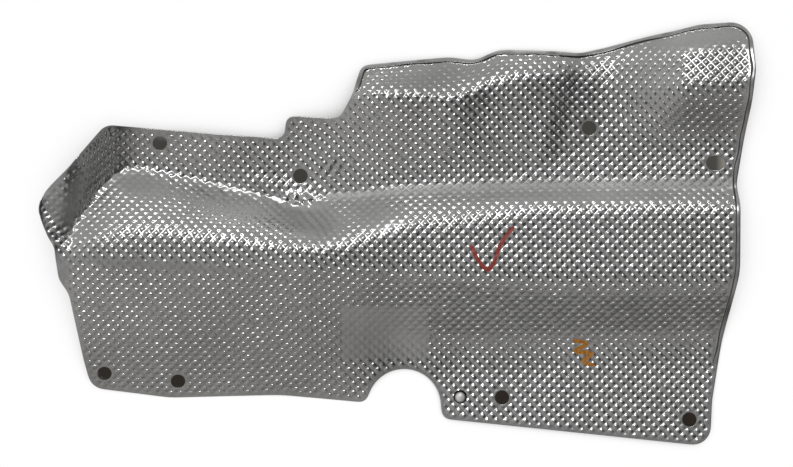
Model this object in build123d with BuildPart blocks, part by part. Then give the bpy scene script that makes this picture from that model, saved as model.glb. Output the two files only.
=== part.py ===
from build123d import *
import os

# Exhaust heat shield: one pressed sheet of embossed aluminium with a hemmed edge, face up.
# X runs along the sheet, Y from its front flange to its rear edge, Z up. Millimetres.

# Sheet and hem
sheet_thickness = 1.0
hem_width = 4.0

# Bolt holes and slot
bolt_hole_radius = 5.0
slot_length = 13.0

# Rivet
rivet_shank_radius = 2.4
rivet_clearance = 0.05
rivet_head_radius = 4.7
rivet_head_height = 2.2
rivet_rim_height = 0.5
rivet_tail_radius = 3.4
rivet_tail_height = 1.4

# Notch in the front edge
notch_radius = 26.0
notch_lip_radius = 6.0

# Heights of the drawn relief
ridge_height = 36.0
panel_height = 19.0
bend_height = 1.0
flange_slope = 0.075
crease_height = 5.0
pocket_height = 2.5
valley_height = 14.0
pad_height = 10.0
block_height = 24.0
corner_height = 27.0
wing_height = 31.0

# Places in plan
round_holes = [
    (-166, 64),
    (-67.5, 41),
    (135, 74.5),
    (-205, -97.5),
    (-153.5, -103),
    (74, -114.5),
    (205.5, -130),
]
slot_place = (223.5, 50)
rivet_place = (44.5, -114)
notch_place = (5, -120.5)
hem_start = (-30, 100)
hem_end = (225, -93)

# Outline in plan from the wing's rear corner round by the front, each corner with its radius
outline = [
    ((-204, 77), 10),
    ((-253, 18.5), 8),
    ((-239, -10), 10),
    ((-236, -31), 8),
    ((-229, -41.5), 14),
    ((-219.5, -88), 30),
    ((-214.5, -107.5), 12),
    ((-159, -114.5), 60),
    ((-82, -112.5), 120),
    (notch_place, 0),
    ((notch_place[0] + notch_radius, notch_place[1]), 0),
    ((notch_place[0] + notch_radius + 1, -129.5), notch_lip_radius),
    ((220, -149), 12.5),
    ((221.5, -117), 40),
    ((228.5, -74), 40),
    ((240, -26), 55),
    ((240.5, 20.5), 40),
    ((238, 34.5), 20),
    ((251.5, 114), 40),
    ((248, 150), 15),
    ((212, 147.5), 28),
    ((146, 130.5), 55),
    ((128, 126.5), 28),
    ((72, 129), 18),
    ((55, 121.5), 18),
    ((37, 124), 40),
    ((-25, 118), 7),
    ((-30, 100), 10),
    ((-40, 81.5), 7),
    ((-77.5, 83.5), 6),
    ((-79, 67), 6),
]

# Guide lines of the relief from front to rear, each followed along X by points (x, y, z)
front_run_out = [
    (-256, -126, -4),
    (-115, -126, -4),
    (-37, -126, -2),
    (5, -140, 1),
    (45, -160, bend_height + 80 * flange_slope),
    (256, -160, bend_height + 80 * flange_slope),
]
bend_line = [
    (-256, -72, panel_height),
    (-115, -72, panel_height),
    (-70, -73, panel_height - 1),
    (-37, -76, panel_height - 6),
    (5, -80, bend_height + 3),
    (45, -80, bend_height),
    (160, -78, bend_height - 2 * flange_slope),
    (256, -73, bend_height - 7 * flange_slope),
]
ridge_front = [
    (-256, -22, wing_height),
    (-203, -18, ridge_height),
    (-70, -20, ridge_height),
    (5, -26, ridge_height - 4),
    (100, -35, ridge_height - 8),
    (160, -37.5, ridge_height - 9.5),
    (256, -36.5, ridge_height - 11),
]
ridge_back = [
    (-256, -10, wing_height),
    (-238, -12, ridge_height - 4.5),
    (-203, 3, ridge_height - 1),
    (-165, 5, ridge_height - 0.5),
    (-115, 0.5, ridge_height),
    (-70, -6, ridge_height),
    (-37, -4.5, ridge_height - 2),
    (5, 10.5, ridge_height - 6.5),
    (100, 20.5, ridge_height - 10.5),
    (256, 20.5, ridge_height - 13),
]
valley_line = [
    (-256, 4, wing_height),
    (-238, -3, wing_height),
    (-220, 15, crease_height + 17),
    (-203, 43, crease_height + 4),
    (-190, 46, crease_height + 1),
    (-165, 45, crease_height),
    (-115, 31, crease_height),
    (-70, 19.5, pocket_height),
    (-37, 26, pocket_height + 6),
    (5, 31, valley_height - 1.5),
    (100, 32.5, valley_height),
    (205, 33.5, valley_height),
    (256, 30, valley_height - 1),
]
face_foot = [
    (-256, 18, wing_height),
    (-238, 12, wing_height - 1),
    (-220, 27, crease_height + 20),
    (-203, 52, crease_height + 9),
    (-190, 55, crease_height + 3),
    (-165, 54, crease_height + 1.5),
    (-115, 42, crease_height + 2),
    (-70, 31, pocket_height + 2.5),
    (-37, 44, pocket_height + 8),
    (5, 46, valley_height - 1.5),
    (100, 52, valley_height - 1.5),
    (180, 62, valley_height - 2.5),
    (256, 71, valley_height - 2.5),
]
crest_line = [
    (-256, 40, wing_height + 1),
    (-220, 60, wing_height - 1),
    (-203, 74, wing_height - 5.5),
    (-190, 72, crease_height + 9),
    (-165, 72, crease_height + 7),
    (-115, 67, crease_height + 7.5),
    (-70, 62, pocket_height + 6.5),
    (-37, 84, block_height - 8),
    (-20, 95.5, block_height - 1.5),
    (5, 93.5, block_height),
    (45, 91, block_height - 2.5),
    (60, 99, block_height - 6),
    (75, 105, block_height - 7),
    (100, 108.5, block_height - 8.5),
    (118, 106, pad_height + 2),
    (150, 104, pad_height),
    (180, 100, pad_height + 7),
    (205, 101, corner_height - 2),
    (256, 104, corner_height),
]
shoulder_line = [
    (-256, 60, wing_height - 1),
    (-220, 75, wing_height),
    (-203, 86, wing_height - 2),
    (-190, 82, crease_height + 11),
    (-115, 77, crease_height + 9.5),
    (-70, 78, pocket_height + 10.5),
    (-37, 92, block_height - 6),
    (-20, 101, block_height - 1.5),
    (5, 99.5, block_height),
    (45, 97.5, block_height - 2.5),
    (60, 106.5, block_height - 6.5),
    (75, 112.5, block_height - 7.5),
    (100, 115.5, block_height - 9.5),
    (118, 115, pad_height + 0.5),
    (150, 120, pad_height - 2),
    (180, 124, pad_height + 4.5),
    (205, 131, corner_height - 6),
    (256, 134, corner_height - 4.5),
]
rear_run_out = [
    (-256, 110, wing_height - 3),
    (-203, 110, wing_height + 3),
    (-190, 110, crease_height + 16),
    (-115, 110, crease_height + 14),
    (-70, 110, pocket_height + 13.5),
    (-37, 112, block_height - 9),
    (-20, 128, block_height - 24),
    (5, 130, block_height - 24),
    (45, 132, block_height - 25),
    (75, 138, block_height - 28),
    (100, 138, pad_height - 14),
    (118, 136, pad_height - 14),
    (150, 140, pad_height - 12),
    (180, 150, pad_height - 9.5),
    (205, 155, corner_height - 23.5),
    (256, 160, corner_height - 23),
]
guides = [
    front_run_out,
    bend_line,
    ridge_front,
    ridge_back,
    valley_line,
    face_foot,
    crest_line,
    shoulder_line,
    rear_run_out,
]
bend_setbacks = [16, 9, 9, 5, 9, 6, 5]
station_count = 25
station_first = -256
station_last = 256


def crossing(guide, x):
    """Place and height where a guide line passes the station x."""
    for (x0, y0, z0), (x1, y1, z1) in zip(guide, guide[1:]):
        if x0 <= x <= x1:
            share = (x - x0) / (x1 - x0)
            return Vector(y0 + share * (y1 - y0), z0 + share * (z1 - z0))
    raise ValueError(f"no guide point at {x}")


def shifted(points, distance):
    """A section's broken line moved square to itself."""
    runs = [(after - before).normalized() for before, after in zip(points, points[1:])]
    normals = [Vector(-run.Y, run.X) for run in runs]
    pairs = zip([normals[0]] + normals, normals + [normals[-1]])
    return [point + (a + b) * (distance / (1 + a.dot(b))) for point, (a, b) in zip(points, pairs)]


def bent_line(points):
    """Straight runs joined by bends."""
    start = points[0]
    for before, corner, after, setback in zip(points, points[1:], points[2:], bend_setbacks):
        back = before - corner
        ahead = after - corner
        entry = corner + back.normalized() * min(setback, 0.45 * back.length)
        leave = corner + ahead.normalized() * min(setback, 0.45 * ahead.length)
        Line(start, entry)
        Bezier(entry, corner, leave)
        start = leave
    Line(start, points[-1])


def cross_sections(above, below):
    """Closed sections at the stations, from a height above the sheet's face to a depth below it."""
    sections = []
    for index in range(station_count):
        x = station_first + (station_last - station_first) * index / (station_count - 1)
        points = [crossing(guide, x) for guide in guides]
        top = shifted(points, above)
        bottom = shifted(points, -below)
        with BuildSketch(Plane(origin=(x, 0, 0), x_dir=(0, 1, 0), z_dir=(1, 0, 0))) as section:
            with BuildLine():
                bent_line(top)
                Line(top[-1], bottom[-1])
                bent_line(bottom)
                Line(bottom[0], top[0])
            make_face()
        sections.append(section.sketch)
    return sections


def seat(sheet, place):
    """Plane on the sheet's upper face at a place in plan."""
    plumb = Axis((place[0], place[1], 0), (0, 0, 1))
    faces = sheet.faces_intersected_by_axis(plumb)
    hits = [hit for face in faces for hit in face.find_intersection_points(plumb)]
    point, normal = max(hits, key=lambda hit: hit[0].Z)
    return Plane(origin=point, x_dir=(1, 0, 0), z_dir=normal)


with BuildSketch() as blank:
    with BuildLine():
        corners = [corner for corner, radius in outline]
        FilletPolyline(*corners, radius=[radius for corner, radius in outline], close=True)
    make_face()
    with Locations(notch_place):
        Circle(notch_radius, mode=Mode.SUBTRACT)
    notch_side = (notch_place[0] - notch_radius, notch_place[1])
    fillet(blank.vertices().sort_by_distance(notch_side)[0], notch_lip_radius)

with BuildSketch() as hem_band:
    add(blank.sketch)
    offset(blank.sketch, -hem_width, mode=Mode.SUBTRACT)
    with BuildLine():
        far_corner = blank.sketch.bounding_box().max + Vector(hem_width, hem_width)
        Polyline(
            hem_start,
            hem_end,
            (far_corner.X, hem_end[1]),
            (far_corner.X, far_corner.Y),
            (hem_start[0], far_corner.Y),
            close=True,
        )
    make_face(mode=Mode.INTERSECT)

with BuildPart() as hem:
    loft(cross_sections(sheet_thickness, sheet_thickness / 2))
    extrude(hem_band.sketch, amount=2 * ridge_height, both=True, mode=Mode.INTERSECT)

with BuildPart() as heat_shield:
    loft(cross_sections(0, sheet_thickness))
    extrude(blank.sketch, amount=2 * ridge_height, both=True, mode=Mode.INTERSECT)
    pressed = heat_shield.part
    rivet_seat = seat(pressed, rivet_place)
    add(hem.part)
    with Locations(*[seat(pressed, place) for place in round_holes]):
        Hole(bolt_hole_radius, depth=4 * sheet_thickness)
    with Locations(rivet_seat):
        Hole(rivet_shank_radius + rivet_clearance, depth=4 * sheet_thickness)
    with BuildSketch(seat(pressed, slot_place)):
        SlotOverall(slot_length, 2 * bolt_hole_radius)
    extrude(amount=4 * sheet_thickness, both=True, mode=Mode.SUBTRACT)

with BuildPart() as dome_rivet:
    head_face = rivet_clearance
    head_top = head_face + rivet_head_height
    tail_face = -sheet_thickness - rivet_clearance
    tail_end = tail_face - rivet_tail_height
    with BuildSketch(Plane(rivet_seat.origin, x_dir=rivet_seat.x_dir, z_dir=-rivet_seat.y_dir)):
        with BuildLine():
            TangentArc((0, head_top), (rivet_head_radius, head_face + rivet_rim_height), tangent=(1, 0))
            Polyline(
                (rivet_head_radius, head_face + rivet_rim_height),
                (rivet_head_radius, head_face),
                (rivet_shank_radius, head_face),
                (rivet_shank_radius, tail_face),
                (rivet_tail_radius, tail_face),
                (rivet_tail_radius, tail_end),
                (0, tail_end),
                (0, head_top),
            )
        make_face()
    revolve(axis=Axis(rivet_seat.origin, rivet_seat.z_dir))

# The origin is under the middle of the sheet, on the floor that it rests on
box = heat_shield.part.bounding_box()
home = Location((-box.center().X, -box.center().Y, -box.min.Z))
os.makedirs("parts", exist_ok=True)
for piece, label in ((heat_shield, "heat_shield"), (dome_rivet, "dome_rivet")):
    piece.part.locate(home)
    piece.part.label = label
    export_step(piece.part, f"parts/{label}.step")
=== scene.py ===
import math

import bpy
import numpy as np
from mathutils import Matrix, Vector
from mathutils.bvhtree import BVHTree


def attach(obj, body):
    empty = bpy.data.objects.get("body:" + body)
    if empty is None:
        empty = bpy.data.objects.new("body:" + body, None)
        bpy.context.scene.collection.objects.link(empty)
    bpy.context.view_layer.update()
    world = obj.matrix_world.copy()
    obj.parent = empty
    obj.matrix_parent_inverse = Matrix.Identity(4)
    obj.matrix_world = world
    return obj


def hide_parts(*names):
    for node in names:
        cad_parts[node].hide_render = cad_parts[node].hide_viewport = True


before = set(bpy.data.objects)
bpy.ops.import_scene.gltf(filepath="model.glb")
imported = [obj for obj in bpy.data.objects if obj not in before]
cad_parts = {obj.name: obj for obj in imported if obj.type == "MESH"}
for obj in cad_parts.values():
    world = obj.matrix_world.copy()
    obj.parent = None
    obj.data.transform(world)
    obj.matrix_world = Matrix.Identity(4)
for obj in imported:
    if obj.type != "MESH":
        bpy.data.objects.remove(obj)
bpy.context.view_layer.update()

# Sizes are in millimetres, and points become metres where a mesh is made
MM = 0.001

# Photograph: its width in pixels, the real size of one pixel and the distance of the camera
image_width = 793
pixel_size = 0.7
camera_distance = 4000.0

# Sheet and its edge: step along the outline, flat foot, margin and fade of the emboss, fine waviness
sheet_thickness = 1.0
outline_step = 1.6
edge_foot = 0.95 * sheet_thickness
edge_margin = 1.2
edge_fade = (0.4, 4.6)
edge_waviness = 0.05
sharp_angle = 62.0

# Folded hem, beyond a line from its start to its end
hem_start = (-30.0, 100.0)
hem_end = (215.0, -85.0)
hem_soft = 1.5
hem_width = 3.0
hem_width_change = 1.2
hem_lip = 0.6
# Painted shade along the whole hem: its level and how much it changes along the edge
hem_shade = 0.2
hem_shade_change = 0.8

# Rows of the hem from its foot, as shares of its width and of the lip's height, with their painted shade,
# darkest in the crease at the foot
hem_crown = [
    (0.0, 0.0, 1.0),
    (0.02, 0.3, 1.0),
    (0.1, 0.75, 0.8),
    (0.22, 0.96, 0.5),
    (0.4, 1.0, 0.2),
    (0.7, 1.0, 0.0),
]

# Bolt holes: margin and fade of the emboss, rounded edge, points round them and what makes one a slot
hole_margin = 0.9
hole_fade = (0.2, 3.0)
hole_emboss = 0.25
hole_edge = 0.2
large_hole_radius = 4.0
large_hole_points = 56
small_hole_points = 36
slot_ratio = 1.1

# Emboss: round bumps on a square lattice that is turned by 45 degrees, flatter on slopes
emboss_pitch = 4.76
bump_radius = 1.6
wall_rise = math.tan(math.radians(17.5))
wall_spread = 0.10
uneven_rise = 0.035
emboss_seed = 11
slope_flat = 0.4
slope_window = (0.12, 0.45)
dome_height = wall_rise * bump_radius / 2.0
foot_depth = wall_rise * (0.6 * emboss_pitch - bump_radius) / 2.0

# Walls that face uphill look more upright, and less so on slopes that fall to the rear
upright_share = 1.4
uphill_window = (0.3, 0.75)
rear_upright = 0.4
rear_window = (-0.15, 0.1)

# Relief map that is read from the solid's underside
underside_facing = 0.45
map_step = 1.5
map_margin = 9.0
smoothing_passes = 2
below_sheet = -50.0
above_sheet = 100.0

# Places with a flatter emboss, as centre, half size, turn in degrees and the share of its depth
emboss_places = [
    ((-60.0, 11.0), (38.0, 24.0), -30.0, 0.08),
    ((-181.0, 34.0), (34.0, 15.0), -12.0, 0.15),
    ((-110.0, 20.0), (78.0, 19.0), -10.0, 0.5),
    ((-233.0, -28.0), (7.0, 16.0), 0.0, 0.10),
    ((-166.0, -22.0), (95.0, 4.5), -3.6, 0.35),
    ((30.0, 110.0), (70.0, 15.0), 6.7, 0.5),
    ((212.0, 135.5), (62.0, 11.0), 9.0, 0.12),
    ((121.0, 26.5), (150.0, 9.0), 0.5, 0.4),
    ((-16.0, 14.0), (34.0, 20.0), -20.0, 0.4),
    ((117.0, -53.0), (165.0, 24.0), 1.0, 0.88),
    ((-234.0, 14.0), (15.0, 28.0), 30.0, 0.5),
    ((-225.0, 27.0), (38.0, 14.0), 70.0, 0.3),
]

# Dull crease behind the plateau, as the points of its line, its half width and its share
dull_crease = [(-45.0, 25.0), (30.0, 31.0), (93.0, 33.3), (232.0, 35.0)]
dull_width = 7.0
dull_crease_share = 0.9

# Stamped flat on the front panel, with the emboss that is left, its dullness and its lighter tone
stamp_center = (-8.6, -69.3)
stamp_half_size = (32.0, 20.5)
stamp_edge = 3.5
stamp_depth = 0.10
stamp_emboss = 0.38
stamp_dull = 0.5
stamp_tone = 0.33

# Places of the metal darkened with painted shade, as centre, half size, turn in degrees and the change
shade_places = [
    ((226.0, 116.0), (38.0, 24.0), 9.0, -0.45),
    ((209.0, 83.0), (50.0, 22.0), 0.0, -0.35),
    ((144.0, 102.0), (40.0, 30.0), 0.0, -0.25),
    ((41.0, 108.0), (75.0, 14.0), 6.7, -0.3),
    ((-237.6, 8.0), (16.0, 26.0), 0.0, -0.4),
]

# Waviness of the whole sheet, as height, wavelength and random seed
sheet_waves = [(0.18, 55.0, 3), (0.05, 14.0, 4), (0.06, 7.0, 9)]

# Wrinkle fields, as centre, half size, turn, direction of the wrinkles, wavelength and height
wrinkle_fields = [
    ((-46.0, 46.0), (14.0, 18.0), 0.0, 58.0, 6.4, 0.55),
    ((-53.0, 8.0), (24.0, 22.0), 0.0, -50.0, 5.0, 0.3),
    ((115.0, 118.0), (6.0, 9.0), 0.0, 80.0, 7.0, 0.40),
]
wrinkle_bend = 1.2
wrinkle_bend_wavelength = 22.0

# Step from the rear block down to its pad, on a leaning line, with the run of the block that rises to it
step_place = 107.0
step_lean = 0.23
step_ends = (54.0, 124.0)
step_end_fade = 8.0
step_half_width = 9.0
step_drop = 1.7
step_run = 75.0

# Lean of the plateau to the rear, with its middle along Y and its fades at the left, front and rear
plateau_lean = 0.025
plateau_middle = -8.0
plateau_left_fade = (0.0, 45.0)
plateau_front_fade = (-40.0, -27.0)
plateau_rear_fade = (8.0, 24.0)

# Lean of the end wing beyond a place along X, with its fade at the front
wing_lean = 0.25
wing_place = -226.0
wing_front_fade = (-25.0, 0.0)

# Fuller pocket floor, as centre, half size, turn and height
pocket_fill = ((-80.0, 26.0), (60.0, 19.0), -12.0, 3.2)

# Flat on the raised rear corner: middle, half length, added slope, the curve that it takes out, and fades
corner_flat_middle = (224.0, 117.0)
corner_flat_half = 15.0
corner_flat_slope = 0.10
corner_flat_curve = 0.0040
corner_flat_reach_squared = 500.0
corner_flat_left_fade = (-55.0, -22.0)
corner_flat_front_fade = (-55.0, -18.0)
corner_flat_rear_fade = (12.0, 26.0)

# Crumpled crease, as the points of its line, its half width, and the height and wavelength of the crumples
crumple_line = [
    (-236.0, -4.0),
    (-211.0, 30.0),
    (-190.0, 46.0),
    (-150.0, 33.0),
    (-110.0, 24.0),
    (-62.0, 18.0),
]
crumple_width = 5.0
crumple_height = 0.6
crumple_wavelength = 7.0

# Knot of crumples at its right end, as centre, half size and turn, with its fill and its crumples
crumple_knot = ((-68.0, 22.5), (23.0, 9.0), -8.0)
knot_fill = 2.0
knot_height = 1.9
knot_wavelength = 6.5

# Marks drawn by hand
red_route = [(52.0, -8.0), (56.0, -17.0), (63.0, -25.0), (68.0, -20.0), (73.0, -7.0), (82.0, 5.0)]
red_width = 2.8
orange_route = [
    (123.7, -75.0),
    (133.5, -77.3),
    (126.0, -82.6),
    (137.0, -84.3),
    (131.0, -90.0),
    (139.5, -92.5),
]
orange_width = 2.9
mark_step = 0.45
mark_height = 0.06
mark_clearance = 0.02
mark_raggedness = 0.25
mark_wavelength = 5.0
mark_seed = 20

# Floor: its corners in metres, gaps below the sheet, reach of the soft shadow and what counts as covered
floor_corners = [(-9.0, -5.0), (9.0, -5.0), (0.0, 10.0)]
floor_gap = 0.035
floor_patch_gap = 0.02
shadow_reach = 60.0
covered_edge_fade = (0.5, 6.5)
covered_hole_fade = (9.0, 40.0)

# Light: level of the room and a softbox behind the sheet, in metres and watts
room_level = 1.15
softbox_place = (-0.3, 2.9, 5.3)
softbox_size = (1.8, 1.2)
softbox_power = 56.0


def smoothstep(low, high, value):
    """0 below low, 1 above high and a soft change between them."""
    share = np.clip((value - low) / (high - low), 0.0, 1.0)
    return share * share * (3.0 - 2.0 * share)


def patch(x, y, center, half_size, turn):
    """1 in the middle of an ellipse, falling softly to 0 at its edge."""
    angle = math.radians(turn)
    along = (x - center[0]) * math.cos(angle) + (y - center[1]) * math.sin(angle)
    across = (y - center[1]) * math.cos(angle) - (x - center[0]) * math.sin(angle)
    return 1.0 - smoothstep(0.2, 1.0, np.hypot(along / half_size[0], across / half_size[1]))


def ripple(x, y, wavelength, seed):
    """Irregular soft waves between -1 and 1, from sine waves in random directions."""
    random = np.random.default_rng(seed)
    total = np.zeros_like(x)
    wave_count = 7
    for _ in range(wave_count):
        angle, phase = random.uniform(0.0, 2.0 * math.pi, 2)
        length = wavelength * random.uniform(0.7, 1.4)
        total += np.sin(2.0 * math.pi * (x * math.cos(angle) + y * math.sin(angle)) / length + phase)
    return total / wave_count


def folded(x, y):
    """1 where the edge is folded over to a hem and 0 elsewhere, with a soft change."""
    run_x, run_y = hem_end[0] - hem_start[0], hem_end[1] - hem_start[1]
    beyond = ((y - hem_start[1]) * run_x - (x - hem_start[0]) * run_y) / math.hypot(run_x, run_y)
    return smoothstep(-hem_soft, hem_soft, beyond)


def line_distance(x, y, points):
    """Distance in plan from an open line through the points."""
    nearest = np.full(x.shape, np.inf)
    for (ax, ay), (bx, by) in zip(points, points[1:]):
        dx, dy = bx - ax, by - ay
        share = np.clip(((x - ax) * dx + (y - ay) * dy) / (dx * dx + dy * dy), 0.0, 1.0)
        nearest = np.minimum(nearest, np.hypot(x - ax - share * dx, y - ay - share * dy))
    return nearest


# Reading the solid


def node_triangles(node):
    """Points in millimetres and triangles of a CAD node, with points in one place merged."""
    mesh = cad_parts[node].data
    mesh.calc_loop_triangles()
    points = np.empty(len(mesh.vertices) * 3, np.float32)
    mesh.vertices.foreach_get("co", points)
    corners = np.empty(len(mesh.loop_triangles) * 3, np.int32)
    mesh.loop_triangles.foreach_get("vertices", corners)
    merged, places = np.unique(np.round(points.reshape(-1, 3) / MM, 3), axis=0, return_inverse=True)
    return merged, places.reshape(-1)[corners].reshape(-1, 3)


def border_loops(triangles):
    """Closed loops of point numbers round a surface, with the surface on the left."""
    edges = np.concatenate([triangles[:, [0, 1]], triangles[:, [1, 2]], triangles[:, [2, 0]]]).tolist()
    known = {(a, b) for a, b in edges}
    follower = {a: b for a, b in edges if (b, a) not in known}
    loops = []
    while follower:
        start, point = follower.popitem()
        loop = [start]
        while point != start:
            loop.append(point)
            point = follower.pop(point)
        loops.append(loop)
    return sorted(loops, key=len, reverse=True)


def resampled(loop, step):
    """A closed line in plan with evenly spaced points and its corners softened."""
    closed = np.vstack([loop, loop[:1]])
    run = np.concatenate([[0.0], np.cumsum(np.hypot(*np.diff(closed, axis=0).T))])
    places = np.linspace(0.0, run[-1], int(run[-1] / step), endpoint=False)
    line = np.stack([np.interp(places, run, closed[:, 0]), np.interp(places, run, closed[:, 1])], axis=1)
    for _ in range(2):
        line = 0.25 * np.roll(line, 1, axis=0) + 0.5 * line + 0.25 * np.roll(line, -1, axis=0)
    return line


def inward_normals(line):
    """Unit directions to the left of a closed line."""
    forward = np.roll(line, -1, axis=0) - np.roll(line, 1, axis=0)
    forward /= np.linalg.norm(forward, axis=1)[:, None]
    return np.stack([-forward[:, 1], forward[:, 0]], axis=1)


def signed_distance(line, x, y):
    """Distance in plan from a closed line, positive inside it."""
    nearest = np.full(x.shape, np.inf)
    inside = np.zeros(x.shape, bool)
    for (ax, ay), (bx, by) in zip(line, np.roll(line, -1, axis=0)):
        dx, dy = bx - ax, by - ay
        share = np.clip(((x - ax) * dx + (y - ay) * dy) / (dx * dx + dy * dy), 0.0, 1.0)
        nearest = np.minimum(nearest, (x - ax - share * dx) ** 2 + (y - ay - share * dy) ** 2)
        if ay != by:
            inside ^= ((ay > y) != (by > y)) & (x < ax + (y - ay) * dx / (by - ay))
    return np.where(inside, 1.0, -1.0) * np.sqrt(nearest)


solid_points, solid_triangles = node_triangles("heat_shield")
solid_corners = solid_points[solid_triangles]
facing = np.cross(solid_corners[:, 1] - solid_corners[:, 0], solid_corners[:, 2] - solid_corners[:, 0])
facing_down = facing[:, 2] < -underside_facing * np.linalg.norm(facing, axis=1)
underside = solid_triangles[facing_down][:, ::-1]
underside_tree = BVHTree.FromPolygons(solid_points.tolist(), underside.tolist())
underside_loops = [solid_points[loop] for loop in border_loops(underside)]
underside_loops.sort(key=lambda loop: np.ptp(loop[:, 0]), reverse=True)
outline = resampled(underside_loops[0][:, :2], outline_step)

map_x = np.arange(outline[:, 0].min() - map_margin, outline[:, 0].max() + map_margin, map_step)
map_y = np.arange(outline[:, 1].min() - map_margin, outline[:, 1].max() + map_margin, map_step)
middle_height = solid_points[:, 2].mean()


def sample(values, x, y):
    """Value of a map between its points."""
    column = np.clip((x - map_x[0]) / map_step, 0.0, len(map_x) - 1.001)
    row = np.clip((y - map_y[0]) / map_step, 0.0, len(map_y) - 1.001)
    i, j = column.astype(int), row.astype(int)
    right, up = column - i, row - j
    low = values[j, i] * (1.0 - right) + values[j, i + 1] * right
    high = values[j + 1, i] * (1.0 - right) + values[j + 1, i + 1] * right
    return low * (1.0 - up) + high * up


def underside_height(x, y):
    """Height of the sheet's underside, carried on past its border by the nearest slope."""
    hit = underside_tree.ray_cast(Vector((x, y, below_sheet)), Vector((0.0, 0.0, 1.0)))[0]
    if hit is not None:
        return hit.z
    place, normal = underside_tree.find_nearest(Vector((x, y, middle_height)))[:2]
    return place.z - (normal.x * (x - place.x) + normal.y * (y - place.y)) / normal.z


def smoothed(values):
    """A map with the facets of the solid's mesh taken out."""
    for _ in range(smoothing_passes):
        for axis in (0, 1):
            width = [(2, 2) if axis == k else (0, 0) for k in (0, 1)]
            wide = np.pad(values, width, mode="reflect", reflect_type="odd")
            count = values.shape[axis]
            steps = [np.take(wide, range(k, k + count), axis=axis) for k in range(5)]
            values = (steps[0] + 4 * steps[1] + 6 * steps[2] + 4 * steps[3] + steps[4]) / 16
    return values


plan_x, plan_y = np.meshgrid(map_x, map_y)
height = smoothed(np.array([[underside_height(x, y) for x in map_x] for y in map_y]))
slope_y, slope_x = np.gradient(height, map_step)
edge_distance = signed_distance(outline, plan_x, plan_y)


def along_sheet(slope, axis):
    """Length along the sheet from the middle of the map, which a slope makes longer than the plan."""
    run = np.cumsum(np.hypot(1.0, slope) * map_step, axis=axis)
    middle = np.take(run, [run.shape[axis] // 2], axis=axis)
    return run - middle


length_x = along_sheet(slope_x, 1) + map_x[len(map_x) // 2]
length_y = along_sheet(slope_y, 0) + map_y[len(map_y) // 2]


def on_sheet(x, y, lift):
    """Points at a lift above the underside, measured square to the sheet."""
    tilt_x = sample(slope_x, x, y)
    tilt_y = sample(slope_y, x, y)
    rise = lift / np.sqrt(1.0 + tilt_x**2 + tilt_y**2)
    return np.stack([x - tilt_x * rise, y - tilt_y * rise, sample(height, x, y) + rise], axis=-1)


# Holes


class Hole:
    """A round or slotted hole, read from its loop in the underside."""

    def __init__(self, loop):
        self.center = 0.5 * (loop.min(axis=0) + loop.max(axis=0))
        tilt_x = sample(slope_x, self.center[0], self.center[1])
        tilt_y = sample(slope_y, self.center[0], self.center[1])
        self.along = np.array([1.0, 0.0, tilt_x]) / math.hypot(1.0, tilt_x)
        normal = np.array([-tilt_x, -tilt_y, 1.0])
        self.across = np.cross(normal, self.along)
        self.across /= np.linalg.norm(self.across)
        half_length = np.abs((loop - self.center) @ self.along).max()
        self.radius = np.abs((loop - self.center) @ self.across).max()
        self.straight = half_length - self.radius if half_length > slot_ratio * self.radius else 0.0

    def distance(self, points):
        """Distance outward from the hole's wall."""
        along = (points - self.center) @ self.along
        across = (points - self.center) @ self.across
        return np.hypot(np.maximum(np.abs(along) - self.straight, 0.0), across) - self.radius

    def ring(self, margin, count):
        """Places in plan round the hole, clockwise so that the sheet is on the left."""
        turn = -2.0 * math.pi * (np.arange(count) + 0.5) / count
        along = np.cos(turn) * (self.radius + margin) + np.sign(np.cos(turn)) * self.straight
        across = np.sin(turn) * (self.radius + margin)
        points = self.center + along[:, None] * self.along + across[:, None] * self.across
        return points[:, 0], points[:, 1]


holes = [Hole(loop) for loop in underside_loops[1:]]


# Emboss and wrinkles


def stamp_share(x, y):
    """1 on the stamped flat and 0 outside it, with a soft edge."""
    inset_x = stamp_half_size[0] - np.abs(x - stamp_center[0])
    inset_y = stamp_half_size[1] - np.abs(y - stamp_center[1])
    return smoothstep(0.0, stamp_edge, np.minimum(inset_x, inset_y))


def drawn_share(x, y):
    """Share by which the sheet is drawn flat at a place."""
    left = np.ones_like(x)
    for center, half_size, turn, depth in emboss_places:
        left = left * (1.0 - (1.0 - depth) * patch(x, y, center, half_size, turn))
    return 1.0 - left


def dull_share(x, y):
    """Share by which the metal is dulled, where it is drawn flat and along a crease."""
    crease = 1.0 - smoothstep(0.3, 1.0, line_distance(x, y, dull_crease) / dull_width)
    share = np.maximum(drawn_share(x, y), dull_crease_share * crease)
    share = share * (1.0 - patch(x, y, *crumple_knot))
    return np.maximum(share, stamp_dull * stamp_share(x, y))


def tone_and_shade_share(x, y):
    """Lightness of the metal at a place, with 0.5 for the usual one: lighter on the stamped flat, darker
    with painted shade in the shaded places.
    """
    tone = 0.5 + stamp_tone * stamp_share(x, y)
    for center, half_size, turn, change in shade_places:
        tone = tone + change * patch(x, y, center, half_size, turn)
    return tone


def emboss_share(x, y):
    """Share of the full emboss depth that is left at a place."""
    share = smoothstep(*edge_fade, sample(edge_distance, x, y) - hem_width * folded(x, y))
    points = on_sheet(x, y, np.zeros_like(x))
    for hole in holes:
        share = share * (hole_emboss + (1.0 - hole_emboss) * smoothstep(*hole_fade, hole.distance(points)))
    return share * (1.0 - drawn_share(x, y)) * (1.0 - (1.0 - stamp_emboss) * stamp_share(x, y))


def wrinkle_lift(x, y):
    """Wrinkles in their fields, as bent sine waves."""
    lift = np.zeros_like(x)
    for center, half_size, turn, direction, wavelength, crest in wrinkle_fields:
        angle = math.radians(direction)
        across = (y - center[1]) * math.cos(angle) - (x - center[0]) * math.sin(angle)
        bent = across + wrinkle_bend * ripple(x, y, wrinkle_bend_wavelength, seed=5)
        wave = np.sin(2.0 * math.pi * bent / wavelength)
        lift += crest * wave * patch(x, y, center, half_size, turn)
    return lift


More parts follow.
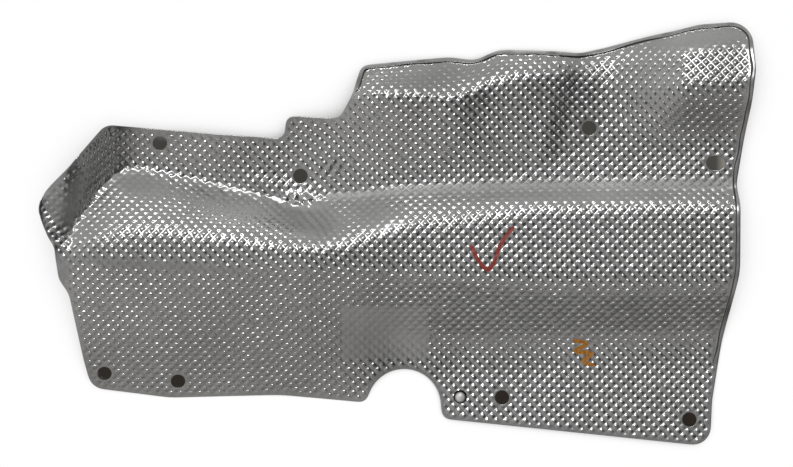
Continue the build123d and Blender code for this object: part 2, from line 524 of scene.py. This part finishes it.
def step_lift(x, y):
    """Rise of the rear block's top towards the step, and its drop there."""
    front, rear = step_ends
    past = x - step_place - step_lean * (y - front)
    within = smoothstep(front - step_end_fade, front + step_end_fade, y)
    within = within * (1.0 - smoothstep(rear, rear + step_end_fade, y))
    rising = np.clip(1.0 + past / step_run, 0.0, 1.0)
    return step_drop * within * rising * (1.0 - smoothstep(-step_half_width, step_half_width, past))


def pocket_lift(x, y):
    """Fuller floor of the pocket."""
    center, half_size, turn, fill = pocket_fill
    return fill * patch(x, y, center, half_size, turn)


def corner_lift(x, y):
    """Lift that turns the top of the raised corner to an even flat which leans to the rear."""
    along = x - corner_flat_middle[0]
    across = y - corner_flat_middle[1]
    near = smoothstep(*corner_flat_left_fade, along) * smoothstep(*corner_flat_front_fade, across)
    lean = corner_flat_slope * corner_flat_half * np.tanh(across / corner_flat_half)
    curve = corner_flat_curve * np.minimum(along**2, corner_flat_reach_squared)
    return near * (curve * (1.0 - smoothstep(*corner_flat_rear_fade, across)) - lean)


def plateau_lift(x, y):
    """Lean of the plateau to the rear."""
    near = smoothstep(*plateau_left_fade, x) * smoothstep(*plateau_front_fade, y)
    near = near * (1.0 - smoothstep(*plateau_rear_fade, y))
    return -plateau_lean * (y - plateau_middle) * near


def wing_lift(x, y):
    """Lean of the wing's outer edge."""
    return wing_lean * np.maximum(wing_place - x, 0.0) * smoothstep(*wing_front_fade, y)


def crumple_lift(x, y):
    """Crumples along the crease and in its knot."""
    near = 1.0 - smoothstep(0.2, 1.0, line_distance(x, y, crumple_line) / crumple_width)
    along_line = crumple_height * near * ripple(x, y, crumple_wavelength, seed=6)
    in_knot = knot_fill + knot_height * ripple(x, y, knot_wavelength, seed=7)
    return along_line + patch(x, y, *crumple_knot) * in_knot


def wrinkle(x, y):
    """Lift of the sheet by waviness, wrinkles, small leans, crumples and the stamped flat."""
    lift = sum(crest * ripple(x, y, wavelength, seed) for crest, wavelength, seed in sheet_waves)
    for part in (wrinkle_lift, step_lift, pocket_lift, corner_lift, plateau_lift, wing_lift, crumple_lift):
        lift = lift + part(x, y)
    return lift - stamp_depth * stamp_share(x, y)


def lattice_place(p, q):
    """Place in plan of a point of the emboss lattice, which follows the sheet over its slopes."""
    u = emboss_pitch * (p - q) / math.sqrt(2.0)
    v = emboss_pitch * (p + q) / math.sqrt(2.0)
    x, y = u.copy(), v.copy()
    passes = 25
    pull = 0.7
    for _ in range(passes):
        x += pull * (u - sample(length_x, x, y))
        y += pull * (v - sample(length_y, x, y))
    return x, y


# Mesh of the sheet


class MeshParts:
    """Points and faces that are collected for one mesh."""

    def __init__(self):
        self.points = []
        self.faces = []
        self.count = 0

    def add_points(self, points):
        self.points.append(points)
        start = self.count
        self.count += len(points)
        return np.arange(start, self.count)

    def add_faces(self, faces):
        self.faces.extend(np.asarray(faces).tolist())

    def mesh(self, name):
        mesh = bpy.data.meshes.new(name)
        mesh.from_pydata((np.concatenate(self.points) * MM).tolist(), [], self.faces)
        mesh.update()
        return mesh


def new_object(name, data):
    """An object in the scene's own collection."""
    item = bpy.data.objects.new(name, data)
    bpy.context.scene.collection.objects.link(item)
    return item


def new_piece(name, mesh, material):
    """An object with a mesh of one material."""
    piece = new_object(name, mesh)
    mesh.materials.append(material)
    return piece


def set_point_values(mesh, name, values):
    """Values at a mesh's points, for its material to read."""
    attribute = mesh.attributes.new(name, "FLOAT", "POINT")
    attribute.data.foreach_set("value", values.astype(np.float32))


def emboss_cells():
    """Lattice numbers of the cells that reach the sheet, with a bump in the middle of each."""
    past_half_diagonal = 0.55 * np.hypot(np.ptp(map_x), np.ptp(map_y))
    reach = int(past_half_diagonal / emboss_pitch)
    i, j = np.meshgrid(np.arange(-reach, reach + 1), np.arange(-reach, reach + 1))
    cells = np.stack([i.ravel(), j.ravel()], axis=1)
    x, y = lattice_place(*cells.T.astype(float))
    return cells[sample(edge_distance, x, y) > -emboss_pitch]


def emboss_lattice(ringed):
    """Lattice coordinates, heights, slopes and triangles of the bumps, ringed by walls or plain."""
    cells = emboss_cells()
    neighbours = 8
    turns = np.arange(neighbours) * 2.0 * math.pi / neighbours
    directions = np.stack([np.cos(turns), np.sin(turns)], axis=1)
    corners = 2 * cells[:, None] + np.round(directions).astype(int)
    keys, places = np.unique(corners.reshape(-1, 2), axis=0, return_inverse=True)
    rim = places.reshape(-1, neighbours)
    top = len(keys) + np.repeat(np.arange(len(cells))[:, None], neighbours, axis=1)
    coordinates = [keys / 2.0, cells]
    heights = [np.full(len(keys), -foot_depth), np.full(len(cells), dome_height)]
    random = np.random.default_rng(emboss_seed)
    slopes = [np.zeros(keys.shape), np.zeros(cells.shape)]
    sides = [(top, rim, np.roll(rim, -1, axis=1))]
    if ringed:
        ring = len(keys) + len(cells) + np.arange(rim.size).reshape(rim.shape)
        coordinates.append((cells[:, None] + bump_radius / emboss_pitch * directions).reshape(-1, 2))
        heights.append(np.zeros(rim.size))
        strength = 1.0 + wall_spread * random.standard_normal(rim.shape)
        slopes.append((-wall_rise * strength[:, :, None] * directions).reshape(-1, 2))
        next_ring = np.roll(ring, -1, axis=1)
        next_rim = np.roll(rim, -1, axis=1)
        sides = [(top, ring, next_ring), (ring, rim, next_rim), (ring, next_rim, next_ring)]
    triangles = np.concatenate([np.stack(side, axis=-1).reshape(-1, 3) for side in sides])
    slopes = np.concatenate(slopes)
    slopes += uneven_rise * random.standard_normal(slopes.shape)
    return np.concatenate(coordinates), np.concatenate(heights), slopes, triangles


def material_distance(x, y):
    """Distance into the embossed field from its hem and hole margins."""
    distance = sample(edge_distance, x, y) - hem_width * folded(x, y) - edge_margin
    points = on_sheet(x, y, np.zeros_like(x))
    for hole in holes:
        distance = np.minimum(distance, hole.distance(points) - hole_margin)
    return distance


def trimmed(values, triangles, distance):
    """Triangles cut off where the distance falls below zero, and the values at all their points."""
    inside = distance >= 0.0
    share_inside = inside[triangles].sum(axis=1)
    kept = [triangles[share_inside == 3]]
    cut = triangles[(share_inside == 1) | (share_inside == 2)]
    odd = inside[cut] == (inside[cut].sum(axis=1) == 1)[:, None]
    first = odd.argmax(axis=1)
    rows = np.arange(len(cut))
    a, b, c = (cut[rows, (first + k) % 3] for k in range(3))
    edges = np.sort(np.concatenate([np.stack([a, b], axis=1), np.stack([a, c], axis=1)]), axis=1)
    unique_edges, places = np.unique(edges, axis=0, return_inverse=True)
    low, high = unique_edges.T
    share = (distance[low] / (distance[low] - distance[high]))[:, None]
    border_values = values[low] * (1.0 - share) + values[high] * share
    numbers = len(values) + places.reshape(-1)
    on_ab, on_ac = numbers[: len(cut)], numbers[len(cut):]
    single = inside[a]
    kept.append(np.stack([a, on_ab, on_ac], axis=1)[single])
    kept.append(np.stack([on_ab, b, c], axis=1)[~single])
    kept.append(np.stack([on_ab, c, on_ac], axis=1)[~single])
    used, renumbered = np.unique(np.concatenate(kept).reshape(-1), return_inverse=True)
    return np.concatenate([values, border_values])[used], renumbered.reshape(-1, 3)


def snapped(x, y):
    """Places with those that lie very near the field's border moved onto it."""
    reach = 0.22
    nudge = 0.05
    least_steep = 0.25
    distance = material_distance(x, y)
    near = np.abs(distance) < reach
    nx, ny = x[near], y[near]
    grad_x = (material_distance(nx + nudge, ny) - material_distance(nx - nudge, ny)) / (2 * nudge)
    grad_y = (material_distance(nx, ny + nudge) - material_distance(nx, ny - nudge)) / (2 * nudge)
    steep = np.maximum(grad_x**2 + grad_y**2, least_steep)
    x[near] -= distance[near] * grad_x / steep
    y[near] -= distance[near] * grad_y / steep
    distance[near] = 0.0
    return x, y, distance


def slope_share(x, y):
    """Share of the emboss depth that is left where the sheet is drawn to a slope."""
    steepness = np.hypot(sample(slope_x, x, y), sample(slope_y, x, y))
    return 1.0 - slope_flat * smoothstep(*slope_window, steepness)


def wall_normals(x, y, rise_p, rise_q):
    """Directions square to the embossed face, steeper on walls that face uphill."""
    nudge = 0.4
    tilt_x = sample(slope_x, x, y) + (wrinkle(x + nudge, y) - wrinkle(x - nudge, y)) / (2 * nudge)
    tilt_y = sample(slope_y, x, y) + (wrinkle(x, y + nudge) - wrinkle(x, y - nudge)) / (2 * nudge)
    along_x = np.stack([np.ones_like(x), np.zeros_like(x), tilt_x], axis=1) / np.hypot(1.0, tilt_x)[:, None]
    along_y = np.stack([np.zeros_like(x), np.ones_like(x), tilt_y], axis=1) / np.hypot(1.0, tilt_y)[:, None]
    square = np.cross(along_x, along_y)
    square /= np.linalg.norm(square, axis=1)[:, None]
    rise_x = (rise_p - rise_q) / math.sqrt(2.0)
    rise_y = (rise_p + rise_q) / math.sqrt(2.0)
    rise = np.hypot(rise_x, rise_y)
    uphill = -(rise_x * tilt_x + rise_y * tilt_y) / np.maximum(rise * np.hypot(tilt_x, tilt_y), 1e-6)
    upright = upright_share * smoothstep(*uphill_window, uphill) * np.minimum(rise / wall_rise, 1.0)
    upright *= rear_upright + (1.0 - rear_upright) * smoothstep(*rear_window, tilt_y)
    left = slope_share(x, y)
    normals = square - (left * rise_x - upright * tilt_x)[:, None] * along_x
    normals -= (left * rise_y - upright * tilt_y)[:, None] * along_y
    return normals / np.linalg.norm(normals, axis=1)[:, None]


def embossed_field(upper):
    """Points, triangles and normals of one side of the embossed field."""
    coordinates, bump_height, slopes, triangles = emboss_lattice(upper)
    x, y = lattice_place(coordinates[:, 0], coordinates[:, 1])
    x, y, distance = snapped(x, y)
    values, triangles = trimmed(np.column_stack([x, y, bump_height, slopes]), triangles, distance)
    x, y, bump_height, rise_p, rise_q = values.T
    share = emboss_share(x, y)
    lift = sheet_thickness if upper else 0.0
    points = on_sheet(x, y, lift + bump_height * share * slope_share(x, y) + wrinkle(x, y))
    return points, triangles, wall_normals(x, y, rise_p * share, rise_q * share)


def add_strip(parts, rows):
    """Quads between closed rows of points, from the upper inner row round the edge to the lower one."""
    numbers = [parts.add_points(row) for row in rows]
    for inner, outer in zip(numbers, numbers[1:]):
        faces = [outer, np.roll(outer, -1), np.roll(inner, -1), inner]
        parts.add_faces(np.stack(faces, axis=1))
    return numbers[0], numbers[-1]


def zipped(edge, edge_points, field, field_points):
    """Triangles between a closed edge row and the field's loop beside it, with the field on the left."""
    start = np.linalg.norm(field_points - edge_points[0], axis=1).argmin()
    field = np.roll(field, -start)
    field_points = np.roll(field_points, -start, axis=0)
    faces = []
    i = j = 0
    while i < len(edge) or j < len(field):
        here, there = edge_points[i % len(edge)], field_points[j % len(field)]
        next_here = edge_points[(i + 1) % len(edge)]
        next_there = field_points[(j + 1) % len(field)]
        along_edge = np.linalg.norm(next_here - there) <= np.linalg.norm(next_there - here)
        if j == len(field) or (i < len(edge) and along_edge):
            faces.append((edge[i % len(edge)], edge[(i + 1) % len(edge)], field[j % len(field)]))
            i += 1
        else:
            faces.append((edge[i % len(edge)], field[(j + 1) % len(field)], field[j % len(field)]))
            j += 1
    return np.array(faces)


def hem_rows():
    """Rows of points and their painted shade, from the hem's inner foot round the edge to the underside."""
    inward = inward_normals(outline)
    outline_x, outline_y = outline.T
    fold = folded(outline_x, outline_y)
    lip = hem_lip * fold
    edge_radius = 0.5 * (sheet_thickness + lip)
    edge_round = 0.5 * sheet_thickness
    width = hem_width + hem_width_change * ripple(outline_x, outline_y, wavelength=24.0, seed=12)
    foot = edge_foot + (width - edge_foot) * fold
    # Painted shade along the hem, uneven along the edge
    uneven_shade = hem_shade + hem_shade_change * ripple(outline_x, outline_y, wavelength=20.0, seed=14)
    profile = [
        (foot - (foot - edge_round) * across, sheet_thickness + lip * rise, painted_shade)
        for across, rise, painted_shade in hem_crown
    ]
    turn_count = 6
    for turn in np.linspace(0.0, math.pi, turn_count + 1):
        lift = edge_radius * (1.0 + math.cos(turn))
        profile.append((edge_round * (1.0 - math.sin(turn)), lift, 0.0))
    profile.append((foot, 0.0, 0.0))
    rows = []
    for inset, lift, painted_shade in profile:
        x = outline_x + inset * inward[:, 0]
        y = outline_y + inset * inward[:, 1]
        wavy = wrinkle(x, y) + edge_waviness * ripple(x, y, wavelength=5.0, seed=8)
        rows.append((on_sheet(x, y, lift + wavy), fold * np.maximum(painted_shade, uneven_shade)))
    return rows


def hole_rows(hole):
    """Rows of points and their painted shade round a hole, darkest on its wall, from its upper margin to
    its lower one.
    """
    margin_row = 0.45 * hole_margin
    bevel = 0.3 * hole_edge
    profile = [
        (margin_row, sheet_thickness, 0.0),
        (hole_edge, sheet_thickness, 0.2),
        (bevel, sheet_thickness - bevel, 0.5),
        (0.0, sheet_thickness - hole_edge, 0.8),
        (0.0, hole_edge, 0.9),
        (hole_edge, 0.0, 0.9),
        (margin_row, 0.0, 0.0),
    ]
    count = large_hole_points if hole.radius > large_hole_radius else small_hole_points
    rows = []
    for margin, lift, painted_shade in profile:
        x, y = hole.ring(margin, count)
        rows.append((on_sheet(x, y, lift + wrinkle(x, y)), np.full(count, painted_shade)))
    return rows


def nearest_loop(loops, points, row):
    """The loop of the field that lies round the same opening as a row of edge points."""
    middle = row.mean(axis=0)
    return min(loops, key=lambda loop: np.linalg.norm(points[loop].mean(axis=0) - middle))


def sheet_mesh():
    """The whole sheet as one closed mesh: embossed faces, folded hem and hole walls."""
    parts = MeshParts()
    edges = [hem_rows()] + [hole_rows(hole) for hole in holes]
    strips = []
    for rows in edges:
        lines = [line for line, _ in rows]
        strips.append((lines[0], lines[-1], *add_strip(parts, lines)))
    # Painted shade along the hem and on the hole walls
    painted_shade = np.concatenate([share for rows in edges for _, share in rows])
    normals = [np.zeros((parts.count, 3))]
    for upper in (True, False):
        points, triangles, face_normals = embossed_field(upper)
        loops = border_loops(triangles)
        outer = max(loops, key=lambda loop: np.ptp(points[loop][:, 0]))
        others = [loop for loop in loops if loop is not outer]
        numbers = parts.add_points(points)
        normals.append(face_normals if upper else np.zeros(points.shape))
        faces = [numbers[triangles]]
        for k, (upper_line, lower_line, upper_numbers, lower_numbers) in enumerate(strips):
            line = upper_line if upper else lower_line
            edge = upper_numbers if upper else lower_numbers
            loop = outer if k == 0 else nearest_loop(others, points, line)
            faces.append(zipped(edge, line, numbers[loop], points[loop]))
        joined = np.concatenate(faces)
        smooth_count = len(parts.faces) + (len(joined) if upper else 0)
        parts.add_faces(joined if upper else joined[:, ::-1])
    mesh = parts.mesh("heat_shield_sheet")
    x, y = np.concatenate(parts.points)[:, :2].T
    set_point_values(mesh, "painted_shade", np.pad(painted_shade, (0, parts.count - len(painted_shade))))
    set_point_values(mesh, "dull", dull_share(x, y))
    set_point_values(mesh, "tone", tone_and_shade_share(x, y))
    smooth = np.arange(len(mesh.polygons)) < smooth_count
    mesh.polygons.foreach_set("use_smooth", smooth)
    mesh.set_sharp_from_angle(angle=math.radians(sharp_angle))
    mesh.normals_split_custom_set_from_vertices(np.concatenate(normals).tolist())
    return mesh


# Materials


def new_material(name):
    material = bpy.data.materials.new(name)
    material.use_nodes = True
    nodes = material.node_tree.nodes
    return material, nodes, material.node_tree.links, nodes["Principled BSDF"]


def grey(level):
    return (level, level, level)


def noise(nodes, links, scale, detail):
    """Cloudy values over the object's own space."""
    place = nodes.new("ShaderNodeTexCoord")
    clouds = nodes.new("ShaderNodeTexNoise")
    clouds.inputs["Scale"].default_value = scale
    clouds.inputs["Detail"].default_value = detail
    links.new(place.outputs["Object"], clouds.inputs["Vector"])
    return clouds.outputs["Fac"]


def color_ramp(nodes, links, source, stops):
    """Colours along the values of a source."""
    ramp = nodes.new("ShaderNodeValToRGB")
    elements = ramp.color_ramp.elements
    while len(elements) < len(stops):
        elements.new(0.5)
    for element, (position, color) in zip(elements, stops):
        element.position = position
        element.color = (*color, 1.0)
    links.new(source, ramp.inputs["Fac"])
    return ramp.outputs["Color"]


def axis_ramp(nodes, links, axis, low, high, stops):
    """Colours along one axis, from a low to a high place."""
    share = nodes.new("ShaderNodeMapRange")
    share.inputs["From Min"].default_value = low
    share.inputs["From Max"].default_value = high
    links.new(axis, share.inputs["Value"])
    return color_ramp(nodes, links, share.outputs["Result"], stops)


def place_axes(nodes, links, output):
    """X, Y and Z of a place or a direction."""
    place = nodes.new("ShaderNodeTexCoord")
    axes = nodes.new("ShaderNodeSeparateXYZ")
    links.new(place.outputs[output], axes.inputs["Vector"])
    return axes.outputs


def point_values(nodes, name):
    """Values that the mesh holds at its points."""
    values = nodes.new("ShaderNodeAttribute")
    values.attribute_name = name
    return values.outputs["Fac"]


def blended(nodes, links, blend, first, second, share=None):
    """Two colours blended, in full or by a share."""
    mix = nodes.new("ShaderNodeMix")
    mix.data_type = "RGBA"
    mix.blend_type = blend
    mix.inputs[0].default_value = 1.0
    if share is not None:
        links.new(share, mix.inputs[0])
    links.new(first, mix.inputs[6])
    links.new(second, mix.inputs[7])
    return mix.outputs[2]


def added(nodes, links, first, second):
    """Sum of two values, up to 1."""
    total = nodes.new("ShaderNodeMath")
    total.operation = "ADD"
    total.use_clamp = True
    links.new(first, total.inputs[0])
    links.new(second, total.inputs[1])
    return total.outputs["Value"]


def sheet_material():
    """Rolled aluminium, dulled in clouds, with fine specks, and painted shade along the hem, on the hole
    walls and in darkened places.
    """
    material, nodes, links, shader = new_material("embossed_sheet")
    clouds = noise(nodes, links, scale=22.0, detail=5.0)
    color = color_ramp(nodes, links, clouds, [(0.3, (0.385, 0.385, 0.382)), (0.7, grey(0.465))])
    specks = noise(nodes, links, scale=900.0, detail=3.0)
    layers = [
        (specks, [(0.25, (0.82, 0.80, 0.78)), (0.5, grey(1.0))]),
        # Lighter on the stamped flat, and painted shade in the shaded places
        (point_values(nodes, "tone"), [(0.0, grey(0.75)), (1.0, grey(1.25))]),
        # Painted shade along the hem and on the hole walls, as a darker colour
        (point_values(nodes, "painted_shade"), [(0.25, grey(1.0)), (0.9, (0.12, 0.115, 0.11))]),
    ]
    for values, stops in layers:
        color = blended(nodes, links, "MULTIPLY", color, color_ramp(nodes, links, values, stops))
    links.new(color, shader.inputs["Base Color"])
    sheen = color_ramp(nodes, links, clouds, [(0.3, grey(0.22)), (0.7, grey(0.14))])
    dull_stops = [(0.0, grey(0.0)), (0.5, grey(0.10)), (0.9, grey(0.36))]
    dull = color_ramp(nodes, links, point_values(nodes, "dull"), dull_stops)
    links.new(added(nodes, links, sheen, dull), shader.inputs["Roughness"])
    shader.inputs["Metallic"].default_value = 1.0
    bump = nodes.new("ShaderNodeBump")
    bump.inputs["Strength"].default_value = 0.25
    bump.inputs["Distance"].default_value = 0.05 * MM
    links.new(noise(nodes, links, scale=2600.0, detail=2.0), bump.inputs["Height"])
    links.new(bump.outputs["Normal"], shader.inputs["Normal"])
    return material


def rivet_material():
    """Bright domed metal with fine wear, and painted shade that makes a dark rim round the dome's foot."""
    material, nodes, links, shader = new_material("rivet_metal")
    wear = noise(nodes, links, scale=600.0, detail=4.0)
    wear_color = color_ramp(nodes, links, wear, [(0.35, (0.84, 0.83, 0.81)), (0.6, grey(1.0))])
    # Painted shade: darker from the rivet's foot up to the edge of its dome
    rim_shade = axis_ramp(nodes, links, place_axes(nodes, links, "Generated")["Z"], 0.0, 1.0, [
        (0.76, (0.02, 0.019, 0.018)),
        (0.83, (0.35, 0.34, 0.33)),
        (0.92, (0.92, 0.91, 0.90)),
    ])
    links.new(blended(nodes, links, "MULTIPLY", wear_color, rim_shade), shader.inputs["Base Color"])
    shader.inputs["Metallic"].default_value = 1.0
    shader.inputs["Roughness"].default_value = 0.55
    return material


def mark_material(name, thin, thick):
    """Wax or paint that is drawn by hand, with an uneven coat."""
    material, nodes, links, shader = new_material(name)
    coat = noise(nodes, links, scale=700.0, detail=4.0)
    links.new(color_ramp(nodes, links, coat, [(0.35, thick), (0.7, thin)]), shader.inputs["Base Color"])
    shader.inputs["Roughness"].default_value = 0.38
    return material


def floor_shadow(nodes, links):
    """White with the sheet's soft shadow, and dark where the floor is seen through its holes."""
    shade = nodes.new("ShaderNodeAmbientOcclusion")
    shade.inputs["Distance"].default_value = shadow_reach * MM
    shade.samples = 12
    soft_shadow = color_ramp(nodes, links, shade.outputs["AO"], [
        (0.0, (0.10, 0.095, 0.09)),
        (0.3, (0.30, 0.295, 0.29)),
        (0.55, grey(0.78)),
        (0.72, grey(0.96)),
        (0.85, grey(1.0)),
    ])
    place = place_axes(nodes, links, "Object")
    front_to_rear = axis_ramp(nodes, links, place["Y"], -0.13, 0.07, [
        (0.0, (0.024, 0.019, 0.015)),
        (1.0, (0.056, 0.054, 0.048)),
    ])
    # Painted light: the floor under the slot at the right end is lighter
    right_end = axis_ramp(nodes, links, place["X"], 0.2, 0.235, [
        (0.0, grey(1.0)),
        (0.7, grey(1.3)),
        (0.86, grey(4.5)),
    ])
    dark = blended(nodes, links, "MULTIPLY", front_to_rear, right_end)
    return blended(nodes, links, "MIX", soft_shadow, dark, point_values(nodes, "covered"))


def floor_material():
    """White floor that keeps the sheet's soft shadow, also in reflections."""
    material, nodes, links, shader = new_material("floor")
    nodes.remove(shader)
    white = nodes.new("ShaderNodeEmission")
    links.new(floor_shadow(nodes, links), white.inputs["Color"])
    matt = nodes.new("ShaderNodeBsdfDiffuse")
    matt.inputs["Color"].default_value = (*grey(0.8), 1.0)
    rays = nodes.new("ShaderNodeLightPath").outputs
    seen = added(nodes, links, rays["Is Camera Ray"], rays["Is Glossy Ray"])
    mix = nodes.new("ShaderNodeMixShader")
    links.new(added(nodes, links, seen, rays["Is Transmission Ray"]), mix.inputs[0])
    links.new(matt.outputs["BSDF"], mix.inputs[1])
    links.new(white.outputs["Emission"], mix.inputs[2])
    links.new(mix.outputs["Shader"], nodes["Material Output"].inputs["Surface"])
    return material


# Marks drawn by hand


def smooth_route(points, step):
    """Evenly spaced places on a Catmull-Rom curve through given points."""
    knots = np.array([points[0], *points, points[-1]], float)
    places = []
    for a, b, c, d in zip(knots, knots[1:], knots[2:], knots[3:]):
        for t in np.arange(0.0, 1.0, step / max(np.linalg.norm(c - b), step)):
            square_part = (2 * a - 5 * b + 4 * c - d) * t**2
            cube_part = (3 * b - a - 3 * c + d) * t**3
            places.append(0.5 * (2 * b + (c - a) * t + square_part + cube_part))
    return np.array(places)


def mark_mesh(name, route, width, shield_tree, seed):
    """A thin ragged ribbon of wax or paint that lies on the embossed sheet."""
    forward = np.gradient(route, axis=0)
    forward /= np.linalg.norm(forward, axis=1)[:, None]
    side = np.stack([-forward[:, 1], forward[:, 0]], axis=1)
    lane_count = int(width / mark_step) + 1
    lanes = np.linspace(-0.5, 0.5, lane_count)
    blunt_end = 0.1
    ragged = 1.0 + mark_raggedness * ripple(route[:, 0], route[:, 1], mark_wavelength, seed)
    ends = np.minimum(np.arange(len(route)), np.arange(len(route))[::-1]) * mark_step / width
    widths = width * ragged * np.sqrt(np.clip(ends + blunt_end, 0.0, 1.0))
    upper, lower = [], []
    for place, across, full_width in zip(route, side, widths):
        for lane in lanes:
            x, y = place + across * lane * full_width
            hit, normal = shield_tree.ray_cast(Vector((x, y, above_sheet)), Vector((0.0, 0.0, -1.0)))[:2]
            rounded = mark_height * (1.0 - (2.0 * lane) ** 2)
            upper.append(hit + normal * (rounded + mark_clearance))
            lower.append(hit - normal * mark_height)
    parts = MeshParts()
    top = parts.add_points(np.array(upper)).reshape(-1, lane_count)
    bottom = parts.add_points(np.array(lower)).reshape(-1, lane_count)
    for layer, order in ((top, 1), (bottom, -1)):
        corners = [layer[:-1, :-1], layer[1:, :-1], layer[1:, 1:], layer[:-1, 1:]]
        parts.add_faces(np.stack(corners, axis=-1).reshape(-1, 4)[:, ::-order])
    border = np.concatenate([np.arange(lane_count), top[1:, -1], top[-1, -2::-1], top[-2:0:-1, 0]])
    below = border + bottom[0, 0] - top[0, 0]
    parts.add_faces(np.stack([border, np.roll(border, -1), np.roll(below, -1), below], axis=1))
    mesh = parts.mesh(name)
    mesh.shade_smooth()
    return mesh


# Building the pieces


def build_shield():
    piece = new_piece("heat_shield_embossed", sheet_mesh(), sheet_material())
    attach(piece, "root")
    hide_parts("heat_shield")
    return piece


def build_marks(shield):
    points = [vertex.co / MM for vertex in shield.data.vertices]
    faces = [tuple(polygon.vertices) for polygon in shield.data.polygons]
    tree = BVHTree.FromPolygons(points, faces)
    marks = [
        ("red_mark", red_route, red_width, ((0.42, 0.07, 0.045), (0.30, 0.03, 0.02))),
        ("orange_mark", orange_route, orange_width, ((0.66, 0.32, 0.03), (0.36, 0.11, 0.006))),
    ]
    for seed, (name, route, width, (thin, thick)) in enumerate(marks, start=mark_seed):
        mesh = mark_mesh(name, smooth_route(route, mark_step), width, tree, seed)
        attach(new_piece(name, mesh, mark_material(name + "_wax", thin, thick)), "root")


def dress_rivet():
    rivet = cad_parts["dome_rivet"]
    rivet.data.materials.clear()
    rivet.data.materials.append(rivet_material())


def build_floor(level):
    """A wide floor, with a fine patch under the sheet that is darkest below the holes."""
    material = floor_material()
    wide = bpy.data.meshes.new("floor")
    wide.from_pydata([(x, y, level - floor_gap * MM) for x, y in floor_corners], [], [(0, 1, 2)])
    new_piece("floor", wide, material)
    x, y, inside = (values[::2, ::2] for values in (plan_x, plan_y, edge_distance))
    parts = MeshParts()
    points = np.stack([x, y, np.full_like(x, level / MM - floor_patch_gap)], axis=-1)
    numbers = parts.add_points(points.reshape(-1, 3)).reshape(x.shape)
    corners = [numbers[:-1, :-1], numbers[:-1, 1:], numbers[1:, 1:], numbers[1:, :-1]]
    parts.add_faces(np.stack(corners, axis=-1).reshape(-1, 4))
    fine = parts.mesh("floor_under_sheet")
    # Painted shadow: darkened where the sheet covers the patch, most near its holes
    from_hole = np.min([np.hypot(x - hole.center[0], y - hole.center[1]) for hole in holes], axis=0)
    covered = smoothstep(*covered_edge_fade, inside) * (1.0 - smoothstep(*covered_hole_fade, from_hole))
    set_point_values(fine, "covered", covered.ravel())
    new_piece("floor_under_sheet", fine, material)


# Light and camera


def build_world():
    """A soft room: light walls behind the sheet and to its left, with a dark opening on its right."""
    world = bpy.data.worlds.new("studio")
    bpy.context.scene.world = world
    world.use_nodes = True
    nodes, links = world.node_tree.nodes, world.node_tree.links
    axes = place_axes(nodes, links, "Generated")
    walls = axis_ramp(nodes, links, axes["Y"], -1.0, 1.0, [
        (0.02, (0.15, 0.148, 0.145)),
        (0.1, (0.335, 0.33, 0.325)),
        (0.17, (0.40, 0.395, 0.39)),
        (0.3, (0.405, 0.40, 0.395)),
        (0.5, grey(0.29)),
        (0.75, grey(0.51)),
        (1.0, (0.54, 0.54, 0.535)),
    ])
    opening = axis_ramp(nodes, links, axes["X"], -1.0, 1.0, [
        (0.2, grey(1.6)),
        (0.38, grey(1.3)),
        (0.5, grey(1.0)),
        (0.6, grey(0.78)),
        (0.74, grey(0.11)),
        (0.85, grey(0.07)),
        (0.9, grey(0.55)),
        (1.0, grey(0.95)),
    ])
    opening_reach = axis_ramp(nodes, links, axes["Y"], -1.0, 1.0, [
        (0.12, grey(0.3)),
        (0.3, grey(0.9)),
        (0.62, grey(1.0)),
        (0.78, grey(0.2)),
    ])
    background = nodes["Background"].inputs
    links.new(blended(nodes, links, "MULTIPLY", walls, opening, opening_reach), background["Color"])
    background["Strength"].default_value = room_level


def add_softbox(name, place, size, power):
    light = bpy.data.lights.new(name, "AREA")
    light.shape = "RECTANGLE"
    light.size, light.size_y = size
    light.energy = power
    lamp = new_object(name, light)
    lamp.location = place
    lamp.rotation_euler = (-Vector(place)).to_track_quat("-Z", "Y").to_euler()


def build_camera():
    data = bpy.data.cameras.new("camera")
    data.sensor_width = 36.0
    data.lens = data.sensor_width * camera_distance / (image_width * pixel_size)
    data.clip_end = 50.0
    camera = new_object("camera", data)
    camera.location = (0.0, 0.0, (camera_distance + middle_height) * MM)
    bpy.context.scene.camera = camera


shield = build_shield()
build_marks(shield)
dress_rivet()
build_floor(min(vertex.co.z for vertex in shield.data.vertices))
build_world()
add_softbox("rear_softbox", softbox_place, softbox_size, softbox_power)
build_camera()
bpy.context.scene.view_settings.view_transform = "Standard"
